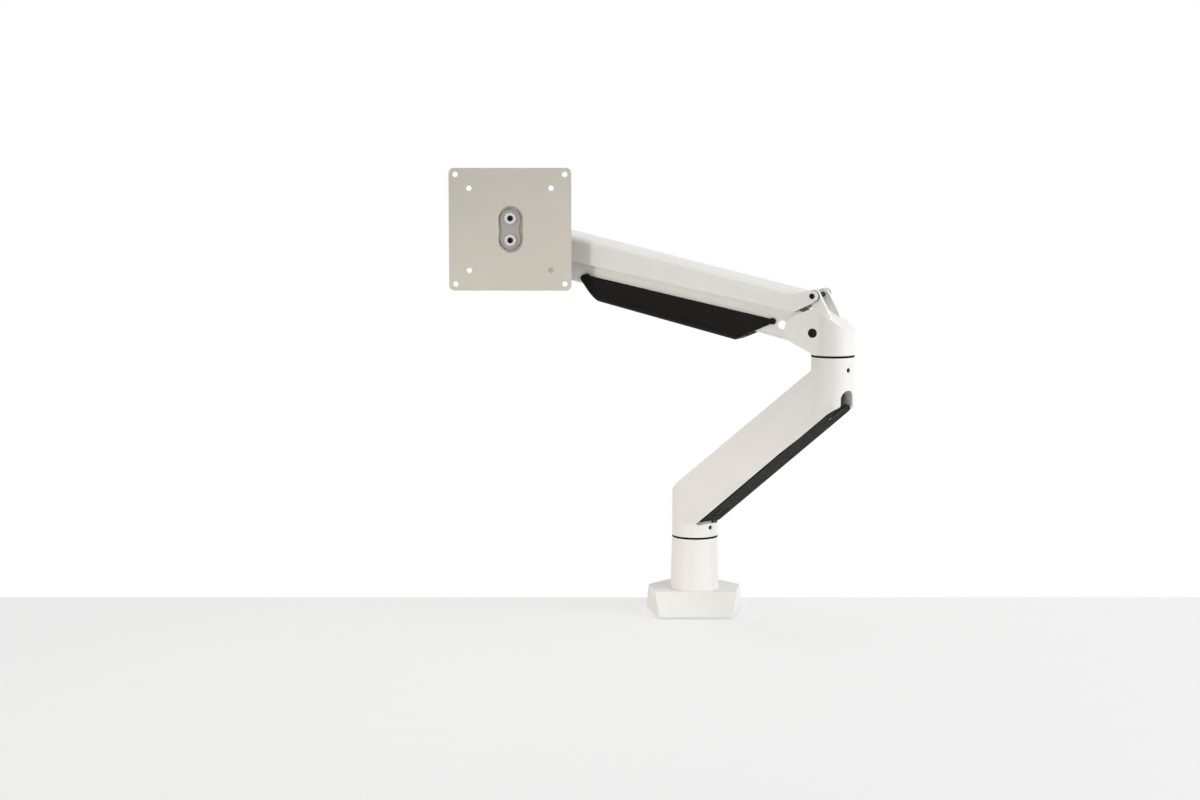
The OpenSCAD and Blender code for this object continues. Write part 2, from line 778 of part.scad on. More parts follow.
module link_inside()
    polygon([[-body_end, 60], [-body_end, -60], [web_end, -60], [web_end, link_wall - link_low],
             [link_l - web_end, link_wall - link_low], [link_l - web_end, -60],
             [link_l + body_end, -60], [link_l + body_end, 60]]);

module link_ends() for (x = [0, link_l]) translate([x, 0, 0]) children();

module lower_link() color(white) in_lower_link()
    difference() {
        intersection() {
            spread(link_w) link_side();
            along_x(-body_end, link_l + body_end)
                translate([0, -link_low]) round_bottom(link_w / 2, 80, 3);
        }
        spread(link_w - 2 * link_wall) link_inside();
        link_ends() cross_pin(bush_out, -link_w, link_w);
        translate([gas_x, 0, gas_z]) cross_pin(gas_pin_r, -link_w, link_w);
        for (x = [70, 135, 200]) translate([x, 0, -link_low]) cube([34, 10, 3 * link_wall], center = true);
    }

module link_bushes() color(zinc) in_lower_link() link_ends() both_sides()
    translate([0, link_w / 2, 0]) rotate([90, 0, 0]) {
        tube(bush_out, lower_pin_r + run_gap, link_wall);
        translate([0, 0, link_wall]) tube(bush_out + 1.5, lower_pin_r + run_gap, 1);
    }

module spring_pin() color(steel) in_lower_link()
    translate([gas_x, 0, gas_z]) cross_pin(gas_pin_r, -link_w / 2, link_w / 2);

// ---- cable keel ----

keel_from = 34.5;
keel_to = link_l - 41;
module keel_side()
    union() {
        offset(r = 3) offset(delta = -3)
            polygon([[keel_from, 2.4], [keel_to, -4.2], [keel_to + 3, -8], [keel_to - 18, -keel_low],
                     [keel_from + 38, -keel_low]]);
        translate([keel_from + 5, 0.6]) circle(r = 3);
        translate([keel_to - 4, -5.6]) circle(r = 3);
    }

module upper_cable_cover() color(dark) in_lower_link()
    difference() {
        intersection() {
            spread(2 * keel_out) keel_side();
            along_x(keel_from - 10, keel_to + 10) translate([0, -keel_low]) round_bottom(keel_out, 60, 10);
        }
        translate([keel_from - 10, -keel_in, -link_low - slip_gap]) cube([keel_to, 2 * keel_in, 60]);
        intersection() {
            spread(2 * keel_out) offset(delta = -keel_wall) keel_side();
            along_x(keel_from, keel_to)
                translate([0, keel_wall - keel_low]) round_bottom(keel_out - keel_wall, 60, 8.5);
            translate([0, -keel_out, -keel_low]) cube([link_l, 2 * keel_out, keel_low - link_low]);
        }
        translate([keel_from - 10, -8, -keel_low + 5]) cube([keel_to, 16, keel_low]);
    }

// ---- upper link ----

module nose(end, tail)
    hull() {
        circle(r = nose_r);
        translate([end * 2, -6.5]) circle(r = 2);
        translate([end * tail, -9.5]) circle(r = 3);
        translate([end * tail, edge_elbow + 3]) circle(r = 3);
        translate([end * 15, edge_elbow + 3]) circle(r = 3);
    }

module shell_side()
    polygon([[roof_end, 20], [link_l - roof_end, 20], [link_l - roof_end, -12],
             [link_l - roof_end - 6, edge_head + 4], [link_l - roof_end - 10, edge_head],
             [15, edge_elbow], [roof_end, edge_elbow + 4]]);

module under_roof(half, cover, r)
    translate([roof_from, 0, roof_z - cover]) rotate([0, roof_tilt, 0])
        along_x(-roof_from - 5, link_l) round_top(half, 60, r);

// The roof is open over the spring's eye, which rises into it when the arm is up
module eye_window()
    translate([0, 0, -20]) linear_extrude(40) hull()
        for (x = [14, 0]) translate([link_l - x, 0]) circle(r = 5.2);

module upper_link() color(white) in_upper_link()
    difference() {
        union() {
            difference() {
                intersection() {
                    spread(2 * shell_out) shell_side();
                    under_roof(shell_out, 0, 6);
                }
                under_roof(shell_in, shell_wall, 4);
            }
            both_sides() translate([0, (shell_in + shell_out) / 2, 0]) spread(shell_wall) {
                nose(1, 26);
                translate([link_l, 0]) nose(-1, 13);
            }
        }
        link_ends() cross_pin(upper_pin_r + run_gap, -2 * shell_out, 2 * shell_out);
        eye_window();
    }

// ---- gas spring ----

module gas_cylinder() color(black) in_gas_spring()
    difference() {
        union() {
            cross_pin(gas_r - 1.5, -8, 8);
            translate([0, -6, -5]) cube([14, 12, 10]);
            translate([12, 0, 0]) rotate([0, 90, 0]) cylinder(r = gas_r, h = gas_l);
        }
        cross_pin(gas_pin_r + run_gap, -link_w, link_w);
        translate([16, 0, 0]) rotate([0, 90, 0]) cylinder(r = gas_r - gas_wall, h = gas_l - 10);
        translate([16, 0, 0]) rotate([0, 90, 0]) cylinder(r = rod_r + run_gap, h = gas_l);
    }

module gas_rod() color(zinc) in_gas_spring()
    difference() {
        union() {
            translate([gas_l - 40, 0, 0]) rotate([0, 90, 0])
                cylinder(r = rod_r, h = gas_span - gas_l + 40 - eye_r + 2);
            translate([gas_l - 50, 0, 0]) rotate([0, 90, 0])
                cylinder(r = gas_r - gas_wall - run_gap, h = 12);
            translate([gas_span, 0, 0]) cross_pin(eye_r, -3.4, 3.4);
        }
        translate([gas_span, 0, 0]) spread(10) hull()
            for (z = [-eye_slot, eye_slot]) translate([0, z]) circle(r = nut_pin_r + eye_gap);
    }

// ---- head bracket ----

module head_side()
    union() {
        hull() {
            circle(r = ear_r);
            translate([8, head_low]) square([wall_x + wall_t - 8, pan_seat - head_low]);
        }
        translate([wall_x, head_low]) square([pan_x - wall_x, pan_seat - head_low]);
    }

module head_bracket() color(white) in_head()
    difference() {
        union() {
            difference() {
                union() {
                    spread(2 * ear_out) head_side();
                    translate([pan_x, 0, head_low]) cylinder(r = pan_r, h = pan_seat - head_low);
                }
                translate([-60 + wall_x, -ear_in, -60]) cube([60, 2 * ear_in, 140]);
            }
            spread(2 * wall_half) translate([wall_x, head_low]) square([wall_t, wall_top - head_low]);
            upper_lug(wall_x - 4, pin_rise, 0, pin_rise);
            translate([tension_x - 6, -8, wall_top - 5]) cube([wall_x - tension_x + 7, 16, 5]);
            translate([tension_x - 6, -8, -4]) cube([wall_x - tension_x + 7, 16, 7]);
        }
        cross_pin(lower_pin_r, -elbow_r, elbow_r);
        translate([0, 0, pin_rise]) cross_pin(upper_pin_r, -elbow_r, elbow_r);
        translate([tension_x, 0, -1]) cylinder(r = tension_r + run_gap, h = wall_top + 2);
        translate([pan_x, 0, head_low + 4]) cylinder(r = 8, h = pan_seat - head_low);
    }

module head_lower_pin() color(black) in_head() link_pin(lower_pin_r, ear_out);

module head_upper_pin() color(black) in_head()
    translate([0, 0, pin_rise]) link_pin(upper_pin_r, shell_out + 0.2);

module head_washers() color(black) in_head() translate([0, 0, pin_rise]) pin_washers();

module pan_post() color(steel) in_pan()
    difference() {
        translate([0, 0, head_low + 4]) cylinder(r = 8, h = knuckle_z + knuckle_h - 6 - head_low - 4);
        translate([0, 0, knuckle_z + knuckle_h - 6 - 14]) cylinder(r = screw_r, h = 20);
    }

module pan_ring() color(black) in_pan() translate([0, 0, pan_seat]) tube(pan_r, 8, ring_t);

module tension_screw() color(zinc) in_head() translate([tension_x, 0, -1])
    difference() {
        union() {
            cylinder(r = tension_r, h = wall_top + 1);
            translate([0, 0, wall_top + 1]) cylinder(r = tension_r + 2, h = 4);
        }
        translate([0, 0, wall_top + 2.5]) hex_socket(5, 4);
    }

module tension_nut() color(steel) in_head() translate([0, 0, nut_z])
    difference() {
        union() {
            translate([tension_x - 6, -8, -5]) cube([wall_x - tension_x + 5, 16, 10]);
            both_sides() translate([0, 6, 0]) spread(4) hull() {
                circle(r = 4);
                translate([tension_x - 5, -4]) square([1, 8]);
            }
        }
        cross_pin(nut_pin_r, -10, 10);
        translate([tension_x, 0, -10]) cylinder(r = tension_r + run_gap, h = 20);
        cross_pin(eye_r + 1.4, -3.7, 3.7);
    }

module nut_pin() color(zinc) in_head() translate([0, 0, nut_z]) cross_pin(nut_pin_r, -8, 8);

// ---- pan, tilt and roll ----

module pan_knuckle() color(white) in_pan()
    difference() {
        union() {
            translate([0, 0, knuckle_z]) cylinder(r1 = pan_r, r2 = pan_r - 1, h = knuckle_h);
            spread(2 * fork_out) hull() {
                translate([tilt_reach, tilt_z]) circle(r = fork_r);
                translate([0, knuckle_z + 4]) square([10, knuckle_h - 8]);
            }
        }
        translate([0, 0, knuckle_z - lap]) cylinder(r = 9.5, h = knuckle_h);
        translate([0, 0, knuckle_z + knuckle_h - 6]) cylinder(r = 12, h = 7);
        translate([fork_x, -fork_in, 0]) cube([60, 2 * fork_in, 80]);
        translate([tilt_reach, 0, tilt_z]) cross_pin(tilt_r, -20, 20);
    }

module pan_bush() color(zinc) in_pan() translate([0, 0, knuckle_z]) tube(9.5, 8 + run_gap, knuckle_h - 7);

module pan_screw() color(zinc) in_pan() translate([0, 0, knuckle_z + knuckle_h - 6])
    difference() {
        union() {
            translate([0, 0, -13]) cylinder(r = screw_r, h = 13);
            cylinder(r = 11.5, h = 1.2);
            translate([0, 0, 1.2]) cylinder(r1 = 5.5, r2 = 4.5, h = 2.6);
        }
        translate([0, 0, 2]) hex_socket(4, 3);
    }

module pan_cap() color(black) in_pan() translate([0, 0, knuckle_z + knuckle_h - 1.8]) cylinder(r = 12, h = 1.8);

module tilt_bolt() color(zinc) in_tilt()
    difference() {
        union() {
            cross_pin(tilt_r, -fork_out - 2.6, fork_out);
            translate([0, fork_out + 3, 0]) rotate([90, 0, 0]) cylinder(r1 = 5.5, r2 = 7, h = 3);
        }
        translate([0, fork_out + 3.5, 0]) rotate([90, 0, 0]) hex_socket(5, 2.5);
    }

module tilt_nut() color(zinc) in_tilt()
    translate([0, -fork_out, 0]) rotate([90, 0, 0])
        difference() {
            cylinder(r = 7, h = 3, $fn = 6);
            translate([0, 0, -lap]) cylinder(r = tilt_r, h = 6);
        }

module tilt_block() color(white) in_tilt()
    difference() {
        union() {
            cross_pin(block_r, -fork_in + 0.8, fork_in - 0.8);
            translate([0, -fork_in + 0.8, -block_r]) cube([roll_x + 2, 2 * fork_in - 1.6, 2 * block_r]);
            translate([roll_x, 0, 0]) rotate([0, 90, 0]) cylinder(r = 15, h = flange_x - roll_x);
        }
        cross_pin(tilt_r + run_gap, -20, 20);
        translate([roll_x - 0.5, -20, -7.5]) cube([5, 40, 15]);
        translate([roll_x, 0, 0]) rotate([0, 90, 0]) cylinder(r = roll_r + run_gap, h = 20);
    }

module tilt_washers() color(black) in_tilt() both_sides()
    translate([0, fork_in, 0]) rotate([90, 0, 0]) tube(block_r, tilt_r + run_gap, 0.8);

module roll_nut() color(zinc) in_tilt() translate([roll_x, 0, 0]) rotate([0, 90, 0])
    difference() {
        cylinder(r = 7.4, h = 4, $fn = 6);
        translate([0, 0, -lap]) cylinder(r = roll_r, h = 6);
    }

module roll_washer() color(black) in_plate() translate([0, 0, flange_x]) tube(15, roll_r, rotor_x - flange_x);

module plate_rotor() color(dark) in_plate()
    difference() {
        union() {
            translate([0, 0, rotor_x])
                cylinder(r = rotor_r, h = plate_reach - dish_depth - dish_floor_t - rotor_x);
            translate([0, 0, roll_x]) cylinder(r = roll_r, h = rotor_x - roll_x + 1);
        }
        for (x = [-1, 1]) translate([x * plate_screw_gap / 2, 0, rotor_x]) cylinder(r = screw_r, h = 20);
    }

module obround(w, h) hull() for (x = [-1, 1]) translate([x * (h - w) / 2, 0]) circle(d = w, $fn = 40);

// The dish, from the plate's face down to its floor
module dish(grow, from, to)
    hull() {
        translate([0, 0, to]) linear_extrude(0.1) obround(dish_w + 2 * grow, dish_h + 2 * grow);
        translate([0, 0, from]) linear_extrude(0.1)
            obround(dish_w + 2 * grow - 2 * dish_draft, dish_h + 2 * grow - 2 * dish_draft);
    }

module square_holes(gap) for (x = [-1, 1]) for (y = [-1, 1])
    translate([x * gap / 2, y * gap / 2, plate_reach - vesa_t - lap]) cylinder(r = vesa_hole_r, h = vesa_t + 2 * lap);

module vesa_plate() color(white) in_plate()
    difference() {
        union() {
            translate([0, 0, plate_reach - vesa_t]) linear_extrude(vesa_t) round_square(plate_w, plate_corner);
            dish(dish_floor_t, plate_reach - dish_depth - dish_floor_t, plate_reach - vesa_t);
        }
        dish(0, plate_reach - dish_depth, plate_reach);
        square_holes(vesa_wide);
        square_holes(vesa_narrow);
        for (x = [-1, 1]) translate([x * plate_screw_gap / 2, 0, 0]) cylinder(r = screw_r, h = plate_reach);
    }

module plate_retainer() color(steel) in_plate()
    translate([0, 0, plate_reach - dish_depth])
        difference() {
            linear_extrude(retainer_t) union() {
                square([plate_screw_gap - 4, dish_w - 2 * dish_draft - 3], center = true);
                for (x = [-1, 1]) translate([x * (plate_screw_gap / 2 - 1.6), 0])
                    circle(d = dish_w - 2 * dish_draft - 0.2);
            }
            for (x = [-1, 1]) translate([x * plate_screw_gap / 2, 0, -lap]) cylinder(r = screw_r, h = 5);
        }

module plate_screws() color(zinc) in_plate()
    for (x = [-1, 1]) translate([x * plate_screw_gap / 2, 0, 0])
        difference() {
            union() {
                translate([0, 0, rotor_x])
                    cylinder(r = screw_r, h = plate_reach - dish_depth + retainer_t - rotor_x);
                translate([0, 0, plate_reach - dish_depth + retainer_t])
                    cylinder(r = screw_head_r, h = screw_head_h);
            }
            translate([0, 0, plate_reach - dish_depth + retainer_t + 2]) hex_socket(5, 4);
        }

base_cover();
base_plate();
desk_pad();
column();
column_bolts();
base_post();
lower_ring();
clamp_bracket();
bracket_screws();
clamp_grip();
clamp_pad();
clamp_screw();
clamp_knob();
lower_arm();
lower_bush();
elbow_bush();
arm_set_screws();
elbow_ring();
lower_cable_cover();
elbow_bracket();
elbow_post();
post_screws();
elbow_lower_pin();
elbow_upper_pin();
elbow_washers();
lower_link();
link_bushes();
spring_pin();
upper_cable_cover();
upper_link();
gas_cylinder();
gas_rod();
head_bracket();
head_lower_pin();
head_upper_pin();
head_washers();
pan_post();
pan_ring();
tension_screw();
tension_nut();
nut_pin();
pan_knuckle();
pan_bush();
pan_screw();
pan_cap();
tilt_bolt();
tilt_nut();
tilt_block();
tilt_washers();
roll_nut();
roll_washer();
plate_rotor();
vesa_plate();
plate_retainer();
plate_screws();
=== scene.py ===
import json
import math

import bmesh
import bpy
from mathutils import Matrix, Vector


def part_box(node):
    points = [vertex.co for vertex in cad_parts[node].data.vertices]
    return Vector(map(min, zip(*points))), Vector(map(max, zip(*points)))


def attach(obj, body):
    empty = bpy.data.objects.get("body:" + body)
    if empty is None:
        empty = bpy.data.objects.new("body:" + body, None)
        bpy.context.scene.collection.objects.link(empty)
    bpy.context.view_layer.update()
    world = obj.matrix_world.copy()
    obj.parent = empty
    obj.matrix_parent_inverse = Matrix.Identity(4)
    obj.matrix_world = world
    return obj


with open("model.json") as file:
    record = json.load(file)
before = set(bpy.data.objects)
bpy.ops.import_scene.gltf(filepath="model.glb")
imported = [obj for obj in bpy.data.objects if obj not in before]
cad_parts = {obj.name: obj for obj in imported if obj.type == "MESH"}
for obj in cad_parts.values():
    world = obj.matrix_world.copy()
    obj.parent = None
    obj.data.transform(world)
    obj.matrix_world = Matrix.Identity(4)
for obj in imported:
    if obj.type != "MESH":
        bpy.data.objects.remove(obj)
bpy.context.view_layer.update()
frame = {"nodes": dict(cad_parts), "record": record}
nodes = frame["nodes"]
record = frame["record"]
scene = bpy.context.scene

# ---------------------------------------------------------------- node helpers

# Noise stays mostly between these two values, so a spread of roughness is mapped from them
NOISE_LOW, NOISE_HIGH = 0.3, 0.7
PURE_WHITE = (1.0, 1.0, 1.0, 1.0)


def new_material(name):
    mat = bpy.data.materials.new(name)
    mat.use_nodes = True
    tree = mat.node_tree
    return mat, tree, tree.nodes["Principled BSDF"]


def coords(tree, scale=(1.0, 1.0, 1.0)):
    coord = tree.nodes.new("ShaderNodeTexCoord")
    mapping = tree.nodes.new("ShaderNodeMapping")
    mapping.inputs["Scale"].default_value = scale
    tree.links.new(coord.outputs["Object"], mapping.inputs["Vector"])
    return mapping.outputs["Vector"]


def noise(tree, vector, scale, detail=3.0, rough=0.5):
    node = tree.nodes.new("ShaderNodeTexNoise")
    node.inputs["Scale"].default_value = scale
    node.inputs["Detail"].default_value = detail
    node.inputs["Roughness"].default_value = rough
    tree.links.new(vector, node.inputs["Vector"])
    return node.outputs["Fac"]


def shades(tree, value, colour, low, high):
    """The colour, from darker to lighter: low and high are a place on the ramp and a factor each."""
    node = tree.nodes.new("ShaderNodeValToRGB")
    for element, (place, factor) in zip(node.color_ramp.elements, (low, high)):
        element.position = place
        element.color = (*(min(1.0, part * factor) for part in colour), 1.0)
    tree.links.new(value, node.inputs["Fac"])
    return node.outputs["Color"]


def spread(tree, value, middle, half):
    """Noise turned into a roughness that varies by half on each side of the middle."""
    node = tree.nodes.new("ShaderNodeMapRange")
    node.inputs["From Min"].default_value = NOISE_LOW
    node.inputs["From Max"].default_value = NOISE_HIGH
    node.inputs["To Min"].default_value = middle - half
    node.inputs["To Max"].default_value = middle + half
    tree.links.new(value, node.inputs["Value"])
    return node.outputs["Result"]


def bump(tree, shader, value, strength, distance, below=None):
    node = tree.nodes.new("ShaderNodeBump")
    node.inputs["Strength"].default_value = strength
    node.inputs["Distance"].default_value = distance
    tree.links.new(value, node.inputs["Height"])
    if below is not None:
        tree.links.new(below.outputs["Normal"], node.inputs["Normal"])
    tree.links.new(node.outputs["Normal"], shader.inputs["Normal"])
    return node


def mix_for_seen(tree, plain, seen, output, share=1.0):
    """Shows the seen shader, by its share, to rays from the camera, off gloss and through glass only."""
    path = tree.nodes.new("ShaderNodeLightPath")
    value = path.outputs["Is Camera Ray"]
    for ray in ("Is Glossy Ray", "Is Transmission Ray"):
        either = tree.nodes.new("ShaderNodeMath")
        either.operation = "MAXIMUM"
        tree.links.new(value, either.inputs[0])
        tree.links.new(path.outputs[ray], either.inputs[1])
        value = either.outputs[0]
    part = tree.nodes.new("ShaderNodeMath")
    part.operation = "MULTIPLY"
    part.inputs[1].default_value = share
    mix = tree.nodes.new("ShaderNodeMixShader")
    tree.links.new(value, part.inputs[0])
    tree.links.new(part.outputs[0], mix.inputs["Fac"])
    tree.links.new(plain.outputs[0], mix.inputs[1])
    tree.links.new(seen.outputs[0], mix.inputs[2])
    tree.links.new(mix.outputs[0], tree.nodes[output].inputs["Surface"])


# ---------------------------------------------------------------- materials


def painted(name, colour, rough=0.42, grain=700, depth=0.00003, coat=0.12, gloss=0.5):
    """Sprayed paint on metal: soft mottling and a fine orange-peel surface."""
    mat, tree, shader = new_material(name)
    vector = coords(tree)
    tone = shades(tree, noise(tree, vector, 14.0, 4.0), colour, (0.3, 0.975), (0.7, 1.012))
    tree.links.new(tone, shader.inputs["Base Color"])
    tree.links.new(spread(tree, noise(tree, vector, 60.0), rough, 0.05), shader.inputs["Roughness"])
    bump(tree, shader, noise(tree, vector, grain, 2.0), 0.35, depth)
    shader.inputs["Coat Weight"].default_value = coat
    shader.inputs["Coat Roughness"].default_value = 0.3
    shader.inputs["Specular IOR Level"].default_value = gloss
    return mat


def moulded(name, colour, rough=0.6, grain=1500, depth=0.00005, mottle=0.12, gloss=0.5):
    """Moulded plastic with a spark-eroded texture: a coarse grain with a fine one over it."""
    mat, tree, shader = new_material(name)
    vector = coords(tree)
    tone = shades(tree, noise(tree, vector, 45.0, 5.0, 0.6), colour,
                  (0.28, 1.0 - mottle), (0.72, 1.0 + mottle))
    tree.links.new(tone, shader.inputs["Base Color"])
    tree.links.new(spread(tree, noise(tree, vector, 240.0), rough, 0.07), shader.inputs["Roughness"])
    coarse = bump(tree, shader, noise(tree, vector, grain * 0.35, 2.0), 0.2, depth)
    bump(tree, shader, noise(tree, vector, grain, 3.0, 0.6), 0.5, depth, coarse)
    shader.inputs["Specular IOR Level"].default_value = gloss
    return mat


def turned(name, colour, rough=0.32, stretch=(1.0, 1.0, 40.0)):
    """Machined or drawn metal: fine streaks that run one way."""
    mat, tree, shader = new_material(name)
    streak = noise(tree, coords(tree, stretch), 90.0, 5.0, 0.65)
    tone = shades(tree, streak, colour, (0.25, 0.86), (0.75, 1.06))
    tree.links.new(tone, shader.inputs["Base Color"])
    tree.links.new(spread(tree, streak, rough, 0.08), shader.inputs["Roughness"])
    bump(tree, shader, streak, 0.15, 0.00003)
    shader.inputs["Metallic"].default_value = 1.0
    return mat


WHITE = (0.905, 0.895, 0.862)
NEAR_BLACK = (0.006, 0.006, 0.006)
materials = {
    "white_paint": painted("white_paint", WHITE),
    "aluminium": painted("cast_white", WHITE, rough=0.45, grain=560, depth=0.00004),
    "base_cover": painted("cover_white", (0.915, 0.908, 0.880), rough=0.38, grain=800, depth=0.00002),
    "cover_plastic": moulded("cover_plastic", (0.012, 0.0115, 0.010), rough=0.55, grain=1300,
                             depth=0.00006, gloss=0.06),
    "black_plastic": moulded("black_plastic", NEAR_BLACK, rough=0.55, gloss=0.06),
    "black_steel": painted("black_steel", (0.007, 0.007, 0.008), rough=0.4, grain=900, coat=0.0, gloss=0.1),
    "bush_plastic": moulded("bush_plastic", (0.52, 0.51, 0.47), rough=0.5),
    "steel": turned("steel", (0.56, 0.57, 0.58), rough=0.34),
    "zinc": turned("zinc", (0.63, 0.64, 0.66), rough=0.3, stretch=(8.0, 8.0, 8.0)),
    "chrome": turned("chrome", (0.72, 0.72, 0.73), rough=0.12, stretch=(2.0, 2.0, 2.0)),
    "foam": moulded("foam", (0.022, 0.022, 0.022), rough=0.92, grain=900, depth=0.0003, mottle=0.25),
}
# Nodes whose colour is a little off their slot's: both are darkened as painted shade
own = {
    # The plate's grey beige is the white paint darkened: painted shade for its face turned from the lamps
    "vesa_plate": painted("plate_paint_and_shade", (0.72, 0.68, 0.605), rough=0.45),
    # The retainer's grey is darkened: painted shade for the dish it lies in
    "plate_retainer": turned("retainer_steel_and_shade", (0.40, 0.385, 0.35), rough=0.45),
}
catch_steel = turned("catch_steel", (0.16, 0.16, 0.155), rough=0.4)
# Black for faces deep in sockets and slots, where there is only shade: painted shade
painted_recess_shade = moulded("painted_recess_shade", NEAR_BLACK, rough=0.8)
slot_of = {part["node"]: part["material_slot"] for part in record["subparts"]}

# ---------------------------------------------------------------- edges of the CAD nodes

# How wide the rounding of a node's edges is, in metres, where it isn't the fine one
FINE_EDGE = 0.0002
EDGE_WIDTH = {
    "base_cover": 0.0016, "column": 0.0005, "vesa_plate": 0.0005, "lower_arm": 0.0012,
    "elbow_bracket": 0.0008, "head_bracket": 0.0008, "pan_knuckle": 0.0009, "tilt_block": 0.0008,
    "upper_link": 0.0006, "lower_link": 0.0005, "upper_cable_cover": 0.0007,
    "lower_cable_cover": 0.0006, "clamp_bracket": 0.0006, "clamp_knob": 0.0012,
}
WELD_WITHIN = 0.000005
FLAT_WITHIN = math.radians(0.4)
SHARP_ABOVE = math.radians(24)
ROUNDED_ABOVE = math.radians(28)


def edge_splitter(limit):
    """Geometry nodes that shade an edge sharp where its faces meet at more than the limit."""
    group = bpy.data.node_groups.new("keep_sharp", "GeometryNodeTree")
    group.interface.new_socket("Geometry", in_out="INPUT", socket_type="NodeSocketGeometry")
    group.interface.new_socket("Geometry", in_out="OUTPUT", socket_type="NodeSocketGeometry")
    start = group.nodes.new("NodeGroupInput")
    end = group.nodes.new("NodeGroupOutput")
    angle = group.nodes.new("GeometryNodeInputMeshEdgeAngle")
    above = group.nodes.new("FunctionNodeCompare")
    above.data_type = "FLOAT"
    above.operation = "GREATER_THAN"
    above.inputs[1].default_value = limit
    smooth = group.nodes.new("GeometryNodeSetShadeSmooth")
    smooth.domain = "EDGE"
    smooth.inputs["Shade Smooth"].default_value = False
    group.links.new(start.outputs[0], smooth.inputs["Geometry"])
    group.links.new(angle.outputs["Unsigned Angle"], above.inputs[0])
    group.links.new(above.outputs[0], smooth.inputs["Selection"])
    group.links.new(smooth.outputs["Geometry"], end.inputs[0])
    return group


def shade_smooth(mesh):
    mesh.polygons.foreach_set("use_smooth", [True] * len(mesh.polygons))


def round_edges(obj, width):
    bevel = obj.modifiers.new("edges", "BEVEL")
    bevel.width = width
    bevel.segments = 3
    bevel.limit_method = "ANGLE"
    bevel.angle_limit = ROUNDED_ABOVE
    bevel.harden_normals = True


keep_sharp = edge_splitter(SHARP_ABOVE)
for name, obj in nodes.items():
    obj.data.materials.clear()
    obj.data.materials.append(own.get(name, materials[slot_of[name]]))
    shade_smooth(obj.data)
    weld = obj.modifiers.new("weld", "WELD")
    weld.merge_threshold = WELD_WITHIN
    flat = obj.modifiers.new("flat faces", "DECIMATE")
    flat.decimate_type = "DISSOLVE"
    flat.angle_limit = FLAT_WITHIN
    split = obj.modifiers.new("keep sharp", "NODES")
    split.node_group = keep_sharp
    round_edges(obj, EDGE_WIDTH.get(name, FINE_EDGE))

# The faces deep in the sockets of the plate's two screws are black: painted shade. The screws stand one
# above the other.
SOCKET_R = 0.003
SOCKET_DEPTH = 0.0035
screws_low, screws_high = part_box("plate_screws")
head_r = (screws_high[0] - screws_low[0]) / 2
screw_x = screws_low[0] + head_r
screw_heights = (screws_low[2] + head_r, screws_high[2] - head_r)


def in_socket(point):
    off_axis = min(math.hypot(point.x - screw_x, point.z - height) for height in screw_heights)
    return off_axis < SOCKET_R and point.y < screws_low[1] + SOCKET_DEPTH


screws = nodes["plate_screws"].data
screws.materials.append(painted_recess_shade)
for face in screws.polygons:
    if all(in_socket(screws.vertices[index].co) for index in face.vertices):
        face.material_index = 1

# ---------------------------------------------------------------- pieces of the scene

UP = Vector((0.0, 0.0, 1.0))
joints = {joint["name"]: joint for joint in record["behaviour"]["joints"]}


def level(vector):
    """The level direction of a vector."""
    return Vector((vector[0], vector[1], 0.0)).normalized()


def add_piece(name, body, mat, mesh, width):
    obj = bpy.data.objects.new(name, mesh)
    scene.collection.objects.link(obj)
    mesh.materials.append(mat)
    shade_smooth(mesh)
    round_edges(obj, width)
    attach(obj, body)


def prism(name, outline, origin, axes, low, high):
    """A closed outline along the first two axes, drawn out from low to high along the third."""
    along, up, across = axes
    count = len(outline)
    points = [origin + along * a + up * b + across * c for c in (low, high) for a, b in outline]
    faces = [tuple(range(count - 1, -1, -1)), tuple(range(count, 2 * count))]
    faces += [(i, (i + 1) % count, count + (i + 1) % count, count + i) for i in range(count)]
    mesh = bpy.data.meshes.new(name)
    mesh.from_pydata([tuple(point) for point in points], [], faces)
    tool = bmesh.new()
    tool.from_mesh(mesh)
    bmesh.ops.recalc_face_normals(tool, faces=tool.faces)
    tool.to_mesh(mesh)
    tool.free()
    return mesh


def obround(length, width, steps=12):
    """Outline of a slot with round ends, along the first axis."""
    half = (length - width) / 2
    turn = [math.pi * (i / steps - 0.5) for i in range(steps + 1)]
    right = [(half + width / 2 * math.cos(a), width / 2 * math.sin(a)) for a in turn]
    return right + [(-a, -b) for a, b in right]


# The bracket's sloping crown runs on up between the lugs of the upper pin. Its outline is given
# from the lower pin, towards the head and up, and it is as wide as the room between the lugs.
CROWN = [(-0.0121, 0.01515), (0.0035, 0.02576), (0.0035, 0.0234), (-0.004, 0.0181), (-0.0121, 0.0085)]
CROWN_HALF = 0.0111
elbow_pin = Vector(joints["arm_lift"]["pos_m"])
towards_head = level(Vector(joints["head_level"]["pos_m"]) - elbow_pin)
crown_axes = (towards_head, UP, UP.cross(towards_head))
add_piece("elbow_crown", "elbow", materials["aluminium"],
          prism("elbow_crown", CROWN, elbow_pin, crown_axes, -CROWN_HALF, CROWN_HALF), 0.0005)

# The latch at the upper end of the lower strip: a raised lip with a black sheet in it that is painted
# shade for its slot, and the tip of a catch. The strip's outer face gives their place: its lowest and
# highest points give the slope, first of the whole strip and then of the outer face alone.
FACE_WITHIN = 0.0003
strip = [vertex.co.copy() for vertex in nodes["lower_cable_cover"].data.vertices]
tip = max(strip, key=lambda point: point.z)
heel = min(strip, key=lambda point: point.z)
outward = level(joints["elbow_swivel"]["pos_m"])
sideways = UP.cross(outward)
for attempt in range(2):
    run = tip - heel
    slope = (outward * run.dot(outward) + UP * run.z).normalized()
    below = slope.cross(sideways)
    if below.z > 0:
        below = -below
    face = max(point.dot(below) for point in strip)
    outer = [point for point in strip if point.dot(below) > face - FACE_WITHIN]
    tip = max(outer, key=lambda point: point.dot(slope))
    heel = min(outer, key=lambda point: point.dot(slope))
centre = tip - sideways * tip.dot(sideways)
slot_at = centre - slope * 0.0095
catch_at = centre - slope * 0.0205 - sideways * 0.003
strip_axes = (slope, sideways, below)

